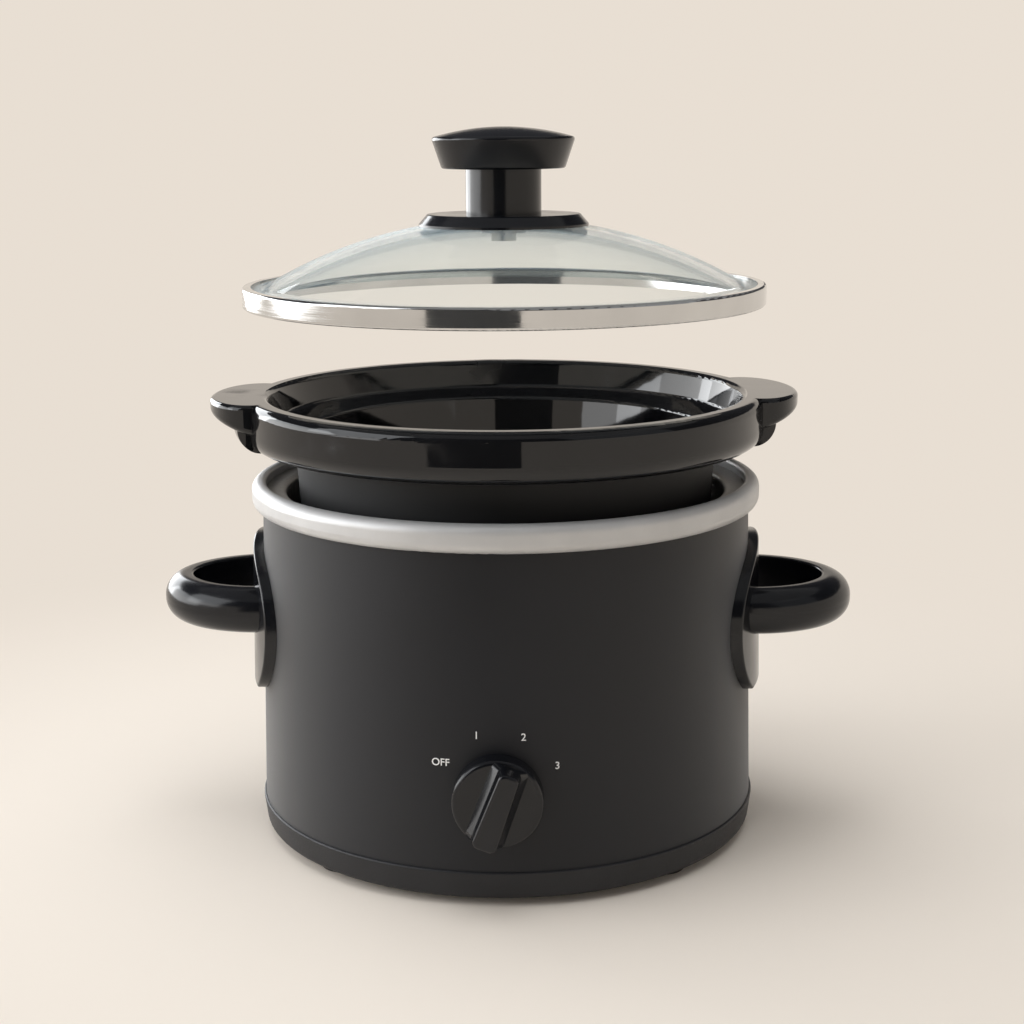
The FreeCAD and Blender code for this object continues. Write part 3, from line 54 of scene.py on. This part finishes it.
# Printed marks round the dial: metres, degrees clockwise from the top, weight as a share of the letter size
DIAL_HEIGHT = 0.0434
MARK_RADIUS = 0.0248
MARK_HEIGHT = 0.0028
MARK_WEIGHT = 0.005
MARK_SINK = 0.0002
MARK_RISE = 0.00012
MARK_ANGLES = {"OFF": -59.5, "1": -18.5, "2": 22.5, "3": 62.5}

# Bare stoneware of the crock, in metres: below this height, outside a cone with this radius at the floor
GLAZE_END_HEIGHT = 0.1605
GLAZE_END_RADIUS = 0.0685
GLAZE_END_LEAN = 0.0943
GLAZE_END_FADE = 0.0006

# Studio: metres, degrees, counts of steps and strengths of light
FLOOR_LEVEL = -0.0001
FLOOR_RADIUS = 1.7
COVE_RADIUS = 0.7
COVE_STEPS = 16
WALL_HEIGHT = 2.4
PAPER_COLOUR = (0.87, 0.79, 0.70)
# Painted shade: colour the wall fades to above PALE_HEIGHT, seen in gloss and bounced light but never by
# the camera
MIRRORED_SHADE_COLOUR = (0.07, 0.07, 0.075)
PALE_HEIGHT = 0.62
DARK_HEIGHT = 1.0
# Painted light: the floor glows evenly beyond GLOW_RADIUS, and the glow fades in over GLOW_FADE close
# enough to lighten the object's cast shadow
GLOW_RADIUS = 0.28
GLOW_FADE = 0.44
GLOW = 0.93
STUDIO_STEPS = 96
AIM_HEIGHT = 0.13
CARD_AZIMUTH = -10.2
CARD_DISTANCE = 0.8
CARD_WIDTH = 0.535
CARD_TOP = 0.75
LAMP_COLOUR = (0.95, 0.975, 1.0)
WORLD_COLOUR = (1.0, 1.0, 1.0, 1.0)
WORLD_LIGHT = 0.3

# Part of a pattern's range, 0 to 1, over which a colour or a roughness runs from one end to the other
PATTERN_LOW = 0.3
PATTERN_HIGH = 0.7

# Unit for relief, in metres
MICRON = 0.000001


class Finish:
    """A material on a principled shader, with short calls for the textures that drive it."""

    def __init__(self, name, **constants):
        self.material = bpy.data.materials.new(name)
        self.material.use_nodes = True
        self.nodes = self.material.node_tree.nodes
        self.links = self.material.node_tree.links
        self.shader = self.nodes["Principled BSDF"]
        self.place = self.nodes.new("ShaderNodeTexCoord").outputs["Object"]
        for socket, value in constants.items():
            self.shader.inputs[socket.replace("_", " ")].default_value = value

    def noise(self, size, detail=3.0, stretch=(1.0, 1.0, 1.0)):
        """Cloudy pattern whose blobs are about size metres across, before the stretch."""
        mapping = self.nodes.new("ShaderNodeMapping")
        mapping.inputs["Scale"].default_value = [1 / (size * factor) for factor in stretch]
        texture = self.nodes.new("ShaderNodeTexNoise")
        texture.inputs["Scale"].default_value = 1.0
        texture.inputs["Detail"].default_value = detail
        self.links.new(self.place, mapping.inputs["Vector"])
        self.links.new(mapping.outputs["Vector"], texture.inputs["Vector"])
        return texture.outputs["Fac"]

    def above(self, height, fade):
        """Pattern that goes from 0 to 1 where the object rises past a height."""
        parts = self.nodes.new("ShaderNodeSeparateXYZ")
        self.links.new(self.place, parts.inputs["Vector"])
        return self.step(parts.outputs["Z"], height, fade)

    def outside(self, radius, fade, lean=0.0):
        """Pattern that goes from 0 to 1 past a distance from the upright axis.

        The distance is radius at height 0, and grows by lean for every metre up.
        """
        level = self.nodes.new("ShaderNodeVectorMath")
        level.operation = "MULTIPLY"
        level.inputs[1].default_value = (1.0, 1.0, 0.0)
        reach = self.nodes.new("ShaderNodeVectorMath")
        reach.operation = "LENGTH"
        rise = self.nodes.new("ShaderNodeVectorMath")
        rise.operation = "DOT_PRODUCT"
        rise.inputs[1].default_value = (0.0, 0.0, lean)
        self.links.new(self.place, level.inputs[0])
        self.links.new(self.place, rise.inputs[0])
        self.links.new(level.outputs["Vector"], reach.inputs[0])
        measure = self.combine("SUBTRACT", reach.outputs["Value"], rise.outputs["Value"])
        return self.step(measure, radius, fade)

    def step(self, measure, middle, fade):
        """Smooth step from 0 to 1 about the middle of a measure."""
        spread = self.nodes.new("ShaderNodeMapRange")
        spread.interpolation_type = "SMOOTHSTEP"
        spread.inputs["From Min"].default_value = middle - fade / 2
        spread.inputs["From Max"].default_value = middle + fade / 2
        self.links.new(measure, spread.inputs["Value"])
        return spread.outputs["Result"]

    def combine(self, operation, first, second):
        """Two patterns combined, and kept between 0 and 1."""
        node = self.nodes.new("ShaderNodeMath")
        node.operation = operation
        node.use_clamp = True
        self.links.new(first, node.inputs[0])
        self.links.new(second, node.inputs[1])
        return node.outputs["Value"]

    def colour(self, pattern, dark, pale):
        """Base colour that runs from one to the other, as a rule from dark to pale, as a pattern rises."""
        ramp = self.nodes.new("ShaderNodeValToRGB")
        low, high = ramp.color_ramp.elements
        low.position = PATTERN_LOW
        low.color = (*dark, 1.0)
        high.position = PATTERN_HIGH
        high.color = (*pale, 1.0)
        self.links.new(pattern, ramp.inputs["Fac"])
        self.links.new(ramp.outputs["Color"], self.shader.inputs["Base Color"])
        return ramp.outputs["Color"]

    def roughness(self, pattern, smooth, rough):
        """Roughness that runs from smooth to rough as a pattern rises."""
        spread = self.nodes.new("ShaderNodeMapRange")
        spread.inputs["From Min"].default_value = PATTERN_LOW
        spread.inputs["From Max"].default_value = PATTERN_HIGH
        spread.inputs["To Min"].default_value = smooth
        spread.inputs["To Max"].default_value = rough
        self.links.new(pattern, spread.inputs["Value"])
        self.links.new(spread.outputs["Result"], self.shader.inputs["Roughness"])

    def bump(self, pattern, depth):
        """Relief that is depth metres from its lowest to its highest."""
        relief = self.nodes.new("ShaderNodeBump")
        relief.inputs["Strength"].default_value = 1.0
        relief.inputs["Distance"].default_value = depth
        self.links.new(pattern, relief.inputs["Height"])
        self.links.new(relief.outputs["Normal"], self.shader.inputs["Normal"])


# Finishes of what shows

def clear_glass():
    """Pressed clear glass with slow waves and a trace of haze."""
    finish = Finish("clear_glass", Transmission_Weight=1.0, IOR=1.06, Coat_Weight=0.22, Coat_IOR=1.5,
                    Sheen_Weight=0.7, Sheen_Roughness=0.3, Sheen_Tint=(0.72, 0.9, 1.0, 1.0))
    haze = finish.noise(size=0.025, detail=5.0)
    finish.colour(haze, dark=(0.96, 0.995, 0.995), pale=(0.97, 1.0, 1.0))
    finish.roughness(haze, smooth=0.0, rough=0.02)
    finish.bump(finish.noise(size=0.04, detail=1.0), depth=40 * MICRON)
    return finish.material


def polished_steel():
    """Rolled and polished steel, with faint lines round the band."""
    finish = Finish("polished_steel", Metallic=1.0)
    lines = finish.noise(size=0.0004, detail=2.0, stretch=(60.0, 60.0, 1.0))
    finish.colour(finish.noise(size=0.03), dark=(0.58, 0.58, 0.575), pale=(0.66, 0.66, 0.655))
    finish.roughness(lines, smooth=0.05, rough=0.14)
    finish.bump(finish.noise(size=0.012, detail=1.0), depth=20 * MICRON)
    return finish.material


def black_gloss():
    """Glossy black moulding, with a slight ripple and smears from hands."""
    finish = Finish("black_gloss", Specular_IOR_Level=0.42)
    smears = finish.noise(size=0.018, detail=6.0)
    finish.colour(smears, dark=(0.004, 0.0045, 0.006), pale=(0.007, 0.0075, 0.010))
    finish.roughness(smears, smooth=0.13, rough=0.22)
    finish.bump(finish.noise(size=0.012, detail=2.0), depth=12 * MICRON)
    return finish.material


def black_glaze():
    """Black stoneware glaze, thick and slightly wavy, that ends under the rim outside the pot."""
    finish = Finish("black_glaze")
    cloud = finish.noise(size=0.03, detail=6.0)
    finish.colour(cloud, dark=(0.003, 0.0032, 0.004), pale=(0.006, 0.0062, 0.0075))
    rim = finish.above(GLAZE_END_HEIGHT, GLAZE_END_FADE)
    wall = finish.outside(GLAZE_END_RADIUS, GLAZE_END_FADE, GLAZE_END_LEAN)
    bare = finish.combine("SUBTRACT", wall, rim)
    dullness = finish.combine("ADD", bare, finish.combine("MULTIPLY", cloud, cloud))
    finish.roughness(dullness, smooth=0.05, rough=0.62)
    finish.bump(finish.noise(size=0.02, detail=2.0), depth=60 * MICRON)
    return finish.material


def shell_paint():
    """Satin black powder coat with its fine orange-peel."""
    finish = Finish("shell_paint", Specular_IOR_Level=0.36, Sheen_Weight=0.35, Sheen_Roughness=0.45)
    cloud = finish.noise(size=0.05, detail=5.0)
    finish.colour(cloud, dark=(0.0038, 0.0042, 0.0065), pale=(0.0055, 0.006, 0.009))
    finish.roughness(cloud, smooth=0.48, rough=0.54)
    finish.bump(finish.noise(size=0.0009, detail=2.0), depth=12 * MICRON)
    return finish.material


def silver_collar():
    """Matte silver ring with a fine bead-blasted grain."""
    finish = Finish("silver_collar", Metallic=0.35)
    grain = finish.noise(size=0.0008, detail=3.0)
    finish.colour(finish.noise(size=0.02, detail=4.0), dark=(0.54, 0.54, 0.54), pale=(0.60, 0.60, 0.60))
    finish.roughness(grain, smooth=0.38, rough=0.5)
    finish.bump(grain, depth=8 * MICRON)
    return finish.material


def liner_metal():
    """Drawn liner under a grey heat-proof wash, streaked up the wall by the die."""
    finish = Finish("liner_metal", Metallic=0.3)
    streaks = finish.noise(size=0.0015, detail=3.0, stretch=(1.0, 1.0, 30.0))
    finish.colour(streaks, dark=(0.36, 0.34, 0.31), pale=(0.50, 0.48, 0.45))
    finish.roughness(streaks, smooth=0.35, rough=0.5)
    finish.bump(streaks, depth=20 * MICRON)
    return finish.material


def tray_plastic():
    """Black moulding with a fine spark-eroded texture."""
    finish = Finish("tray_plastic")
    texture = finish.noise(size=0.0006, detail=3.0)
    cloud = finish.noise(size=0.02, detail=5.0)
    finish.colour(cloud, dark=(0.007, 0.0075, 0.010), pale=(0.011, 0.0115, 0.015))
    finish.roughness(texture, smooth=0.44, rough=0.56)
    finish.bump(texture, depth=20 * MICRON)
    return finish.material


def black_rubber():
    """Matte rubber with a dusty bloom."""
    finish = Finish("black_rubber", Specular_IOR_Level=0.3)
    bloom = finish.noise(size=0.006, detail=6.0)
    finish.colour(bloom, dark=(0.010, 0.010, 0.010), pale=(0.022, 0.021, 0.020))
    finish.roughness(bloom, smooth=0.6, rough=0.8)
    finish.bump(finish.noise(size=0.0007, detail=3.0), depth=30 * MICRON)
    return finish.material


def white_ink():
    """Screen-printed ink, thinner in places."""
    finish = Finish("white_ink")
    cover = finish.noise(size=0.0006, detail=4.0)
    finish.colour(cover, dark=(0.86, 0.86, 0.86), pale=(0.95, 0.95, 0.95))
    finish.roughness(cover, smooth=0.45, rough=0.6)
    return finish.material


# Finishes of what is inside

def brass():
    """Turned brass, tarnished in patches."""
    finish = Finish("brass", Metallic=1.0)
    tarnish = finish.noise(size=0.003, detail=5.0)
    finish.colour(tarnish, dark=(0.50, 0.36, 0.15), pale=(0.76, 0.60, 0.30))
    finish.roughness(tarnish, smooth=0.22, rough=0.4)
    finish.bump(finish.noise(size=0.0004), depth=6 * MICRON)
    return finish.material


def plated_steel():
    """Zinc-plated steel with a blue and straw cast."""
    finish = Finish("plated_steel", Metallic=1.0)
    cast = finish.noise(size=0.004, detail=4.0)
    finish.colour(cast, dark=(0.52, 0.54, 0.57), pale=(0.68, 0.66, 0.60))
    finish.roughness(cast, smooth=0.25, rough=0.42)
    finish.bump(finish.noise(size=0.0005), depth=8 * MICRON)
    return finish.material


def silicone():
    """Milky silicone."""
    finish = Finish("silicone", Subsurface_Weight=0.2, Subsurface_Scale=0.002)
    cloud = finish.noise(size=0.004, detail=3.0)
    finish.colour(cloud, dark=(0.74, 0.74, 0.72), pale=(0.84, 0.84, 0.82))
    finish.roughness(cloud, smooth=0.5, rough=0.65)
    return finish.material


def mica():
    """Pressed mica sheet with its flakes."""
    finish = Finish("mica")
    flakes = finish.noise(size=0.004, detail=6.0, stretch=(1.0, 1.0, 0.5))
    finish.colour(flakes, dark=(0.36, 0.29, 0.20), pale=(0.66, 0.60, 0.48))
    finish.roughness(flakes, smooth=0.3, rough=0.6)
    finish.bump(flakes, depth=100 * MICRON)
    return finish.material


def glass_wool():
    """Off-white felted fibre wrap."""
    finish = Finish("glass_wool", Sheen_Weight=0.3)
    fibres = finish.noise(size=0.0008, detail=6.0, stretch=(6.0, 6.0, 1.0))
    finish.colour(fibres, dark=(0.66, 0.63, 0.55), pale=(0.88, 0.86, 0.80))
    finish.roughness(fibres, smooth=0.85, rough=1.0)
    finish.bump(fibres, depth=400 * MICRON)
    return finish.material


def moulded(name, dark, pale):
    """Plain moulded plastic or fired clay with a fine grain."""
    finish = Finish(name)
    grain = finish.noise(size=0.0008, detail=4.0)
    finish.colour(finish.noise(size=0.006, detail=4.0), dark, pale)
    finish.roughness(grain, smooth=0.42, rough=0.58)
    finish.bump(grain, depth=15 * MICRON)
    return finish.material


def switch_plastic():
    return moulded("switch_plastic", (0.045, 0.041, 0.037), (0.070, 0.064, 0.058))


def rotor_plastic():
    return moulded("rotor_plastic", (0.68, 0.66, 0.60), (0.78, 0.76, 0.71))


def white_ceramic():
    return moulded("white_ceramic", (0.76, 0.75, 0.71), (0.87, 0.86, 0.82))


def dark_sleeve():
    return moulded("dark_sleeve", (0.030, 0.030, 0.032), (0.050, 0.050, 0.052))


def pale_sleeve():
    return moulded("pale_sleeve", (0.70, 0.68, 0.62), (0.80, 0.78, 0.73))


def fuse_case():
    """Drawn aluminium can, scuffed along its length."""
    finish = Finish("fuse_case", Metallic=1.0)
    scuffs = finish.noise(size=0.0005, detail=3.0, stretch=(1.0, 12.0, 1.0))
    finish.colour(scuffs, dark=(0.60, 0.60, 0.60), pale=(0.74, 0.74, 0.74))
    finish.roughness(scuffs, smooth=0.25, rough=0.45)
    finish.bump(scuffs, depth=8 * MICRON)
    return finish.material


FINISHES = (
    clear_glass, polished_steel, black_gloss, black_glaze, shell_paint, silver_collar, liner_metal,
    tray_plastic, black_rubber, brass, plated_steel, silicone, mica, glass_wool, switch_plastic,
    rotor_plastic, white_ceramic, fuse_case, dark_sleeve, pale_sleeve,
)


def dress_nodes():
    """Gives every node of the frame the finish of its material slot."""
    materials = {finish.__name__: finish() for finish in FINISHES}
    for part in frame["record"]["subparts"]:
        for slot in frame["nodes"][part["node"]].material_slots:
            slot.material = materials[part["material_slot"]]


def show(name, data):
    """New object in the scene."""
    shown = bpy.data.objects.new(name, data)
    bpy.context.scene.collection.objects.link(shown)
    return shown


# Printed marks round the dial

def letters(text):
    """Flat mesh of a text, centred, with capitals MARK_HEIGHT tall and a skin's thickness."""
    curve = bpy.data.curves.new("letters", "FONT")
    curve.body = text
    curve.size = 1.0
    curve.offset = MARK_WEIGHT
    writer = show("letters", curve)
    bpy.context.view_layer.update()
    scale = MARK_HEIGHT / writer.dimensions.y
    curve.extrude = (MARK_SINK + MARK_RISE) / 2 / scale
    bpy.context.view_layer.update()
    mesh = bpy.data.meshes.new_from_object(writer.evaluated_get(bpy.context.evaluated_depsgraph_get()))
    bpy.data.objects.remove(writer)
    across = [vertex.co.x for vertex in mesh.vertices]
    up = [vertex.co.y for vertex in mesh.vertices]
    middle = Vector(((min(across) + max(across)) / 2, (min(up) + max(up)) / 2, 0))
    mesh.transform(Matrix.Scale(scale, 4) @ Matrix.Translation(-middle))
    return mesh


def on_shell(across, height, out):
    """Point on the shell's face, an arc across from its front and a little out of it."""
    radius = SHELL_FOOT_RADIUS - SHELL_FLARE * (height - SHELL_FOOT_HEIGHT) / SHELL_HEIGHT
    angle = across / radius
    return Vector(((radius + out) * math.sin(angle), -(radius + out) * math.cos(angle), height))


def dial_mark(text, angle, material):
    """One printed mark, bent to the shell's face, that rides with the base."""
    mesh = letters(text)
    turn = math.radians(angle)
    middle_across = MARK_RADIUS * math.sin(turn)
    middle_height = DIAL_HEIGHT + MARK_RADIUS * math.cos(turn)
    lift = (MARK_RISE - MARK_SINK) / 2
    for vertex in mesh.vertices:
        across, up, out = vertex.co
        vertex.co = on_shell(middle_across + across, middle_height + up, out + lift)
    mesh.materials.clear()
    mesh.materials.append(material)
    mark = show("dial_mark_" + text.lower(), mesh)
    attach(mark, "base")


def dial_marks():
    """The four settings, printed round the dial."""
    ink = white_ink()
    for text, angle in MARK_ANGLES.items():
        dial_mark(text, angle, ink)


# Studio, light and camera

def backdrop_paper():
    """Warm pale paper, evenly lit away from the object, with painted shade well above it: dark grey in its
    mirror image and in the light it bounces, pale to the camera and through glass.
    """
    finish = Finish("backdrop_paper", Specular_IOR_Level=0.1)
    rays = finish.nodes.new("ShaderNodeLightPath").outputs
    direct = finish.combine("ADD", rays["Is Camera Ray"], rays["Is Transmission Ray"])
    seen = finish.combine("ADD", direct, rays["Is Glossy Ray"])
    height = finish.above((PALE_HEIGHT + DARK_HEIGHT) / 2, DARK_HEIGHT - PALE_HEIGHT)
    # Painted shade on the upper wall, for every ray but the camera's and the glass's
    mirrored_shade_height = finish.combine("SUBTRACT", height, direct)
    shade = finish.colour(mirrored_shade_height, PAPER_COLOUR, MIRRORED_SHADE_COLOUR)
    finish.roughness(finish.noise(size=0.01, detail=4.0), smooth=0.85, rough=1.0)
    glow = finish.nodes.new("ShaderNodeEmission")
    glow.inputs["Strength"].default_value = GLOW
    finish.links.new(shade, glow.inputs["Color"])
    mix = finish.nodes.new("ShaderNodeMixShader")
    # Painted light: the glow fades in over the floor near the object and lightens its cast shadow
    share = finish.combine("MULTIPLY", seen, finish.outside(GLOW_RADIUS, GLOW_FADE))
    finish.links.new(share, mix.inputs["Fac"])
    finish.links.new(finish.shader.outputs["BSDF"], mix.inputs[1])
    finish.links.new(glow.outputs["Emission"], mix.inputs[2])
    finish.links.new(mix.outputs["Shader"], finish.nodes["Material Output"].inputs["Surface"])
    return finish.material


def studio():
    """Round floor that curves up into a plain wall on every side."""
    profile = [(FLOOR_RADIUS, 0.0)]
    for step in range(1, COVE_STEPS + 1):
        angle = math.pi / 2 * step / COVE_STEPS
        profile.append((FLOOR_RADIUS + COVE_RADIUS * math.sin(angle), COVE_RADIUS * (1 - math.cos(angle))))
    profile.append((FLOOR_RADIUS + COVE_RADIUS, WALL_HEIGHT))
    points = [(0.0, 0.0, FLOOR_LEVEL)]
    faces = []
    for radius, height in profile:
        for step in range(STUDIO_STEPS):
            angle = 2 * math.pi * step / STUDIO_STEPS
            points.append((radius * math.cos(angle), radius * math.sin(angle), FLOOR_LEVEL + height))
    for step in range(STUDIO_STEPS):
        beside = (step + 1) % STUDIO_STEPS
        faces.append((0, 1 + step, 1 + beside))
        for ring in range(len(profile) - 1):
            low = 1 + ring * STUDIO_STEPS
            high = low + STUDIO_STEPS
            faces.append((low + step, high + step, high + beside, low + beside))
    mesh = bpy.data.meshes.new("studio")
    mesh.from_pydata(points, [], faces)
    mesh.materials.append(backdrop_paper())
    mesh.shade_smooth()
    show("studio", mesh)


def card_black():
    """Black felt."""
    finish = Finish("card_black", Specular_IOR_Level=0.1)
    felt = finish.noise(size=0.01, detail=5.0)
    finish.colour(felt, dark=(0.05, 0.05, 0.05), pale=(0.08, 0.08, 0.08))
    finish.roughness(felt, smooth=0.8, rough=1.0)
    return finish.material


def dark_card():
    """Black card that stands behind the camera, unseen but mirrored in the glossy fronts."""
    half = CARD_WIDTH / 2
    turn = Matrix.Rotation(math.radians(CARD_AZIMUTH), 4, "Z")
    corners = [(-half, 0.0), (half, 0.0), (half, CARD_TOP), (-half, CARD_TOP)]
    points = [turn @ Vector((across, -CARD_DISTANCE, height)) for across, height in corners]
    mesh = bpy.data.meshes.new("dark_card")
    mesh.from_pydata(points, [], [(0, 1, 2, 3)])
    mesh.materials.append(card_black())
    card = show("dark_card", mesh)
    card.visible_camera = False


def softbox(name, azimuth, elevation, distance, size, watts, mirrored=True):
    """Soft rectangular lamp that faces the object, from degrees round from the front and degrees up.

    It is not seen itself, nor through the glass. One that is not mirrored does not show in gloss either.
    """
    lamp = bpy.data.lights.new(name, "AREA")
    lamp.shape = "RECTANGLE"
    lamp.size, lamp.size_y = size
    lamp.energy = watts
    lamp.color = LAMP_COLOUR
    holder = show(name, lamp)
    aim = Vector((0.0, 0.0, AIM_HEIGHT))
    turn = Matrix.Rotation(math.radians(azimuth), 3, "Z")
    lift = Matrix.Rotation(math.radians(-elevation), 3, "X")
    holder.location = aim + turn @ lift @ Vector((0.0, -distance, 0.0))
    holder.rotation_euler = (aim - holder.location).to_track_quat("-Z", "Y").to_euler()
    holder.visible_camera = False
    holder.visible_transmission = False
    holder.visible_glossy = mirrored


def lights():
    """One lamp above, three windows on the left and a weak one on the right."""
    softbox("top", azimuth=0.0, elevation=90.0, distance=2.2, size=(2.0, 2.0), watts=31.0, mirrored=False)
    softbox("window_left", azimuth=-100.0, elevation=3.0, distance=1.9, size=(2.1, 1.5), watts=33.0)
    softbox("window_rear_left", azimuth=-138.0, elevation=3.0, distance=1.9, size=(1.2, 1.5), watts=26.0)
    softbox("window_front_left", azimuth=-68.0, elevation=26.0, distance=2.1, size=(1.6, 1.5), watts=20.0)
    softbox("window_front_right", azimuth=55.0, elevation=30.0, distance=2.1, size=(1.7, 1.2), watts=1.6)


def world_light():
    """Even white light from all round."""
    world = bpy.data.worlds.new("world")
    world.use_nodes = True
    background = world.node_tree.nodes["Background"]
    background.inputs["Color"].default_value = WORLD_COLOUR
    background.inputs["Strength"].default_value = WORLD_LIGHT
    bpy.context.scene.world = world


def camera():
    """The photograph's camera."""
    lens = bpy.data.cameras.new("camera")
    lens.sensor_fit = "HORIZONTAL"
    lens.sensor_width = CAMERA_SENSOR
    lens.lens = CAMERA_LENS
    lens.shift_x = CAMERA_SHIFT
    lens.clip_start = CAMERA_NEAR
    holder = show("camera", lens)
    turn = Matrix.Rotation(math.radians(CAMERA_TURN), 4, "Z")
    tilt = Matrix.Rotation(math.radians(CAMERA_TILT), 4, "X")
    roll = Matrix.Rotation(math.radians(CAMERA_ROLL), 4, "Z")
    holder.matrix_world = Matrix.Translation(CAMERA_PLACE) @ turn @ tilt @ roll
    bpy.context.scene.camera = holder


dress_nodes()
dial_marks()
studio()
dark_card()
lights()
world_light()
camera()
bpy.context.scene.view_settings.view_transform = "Standard"
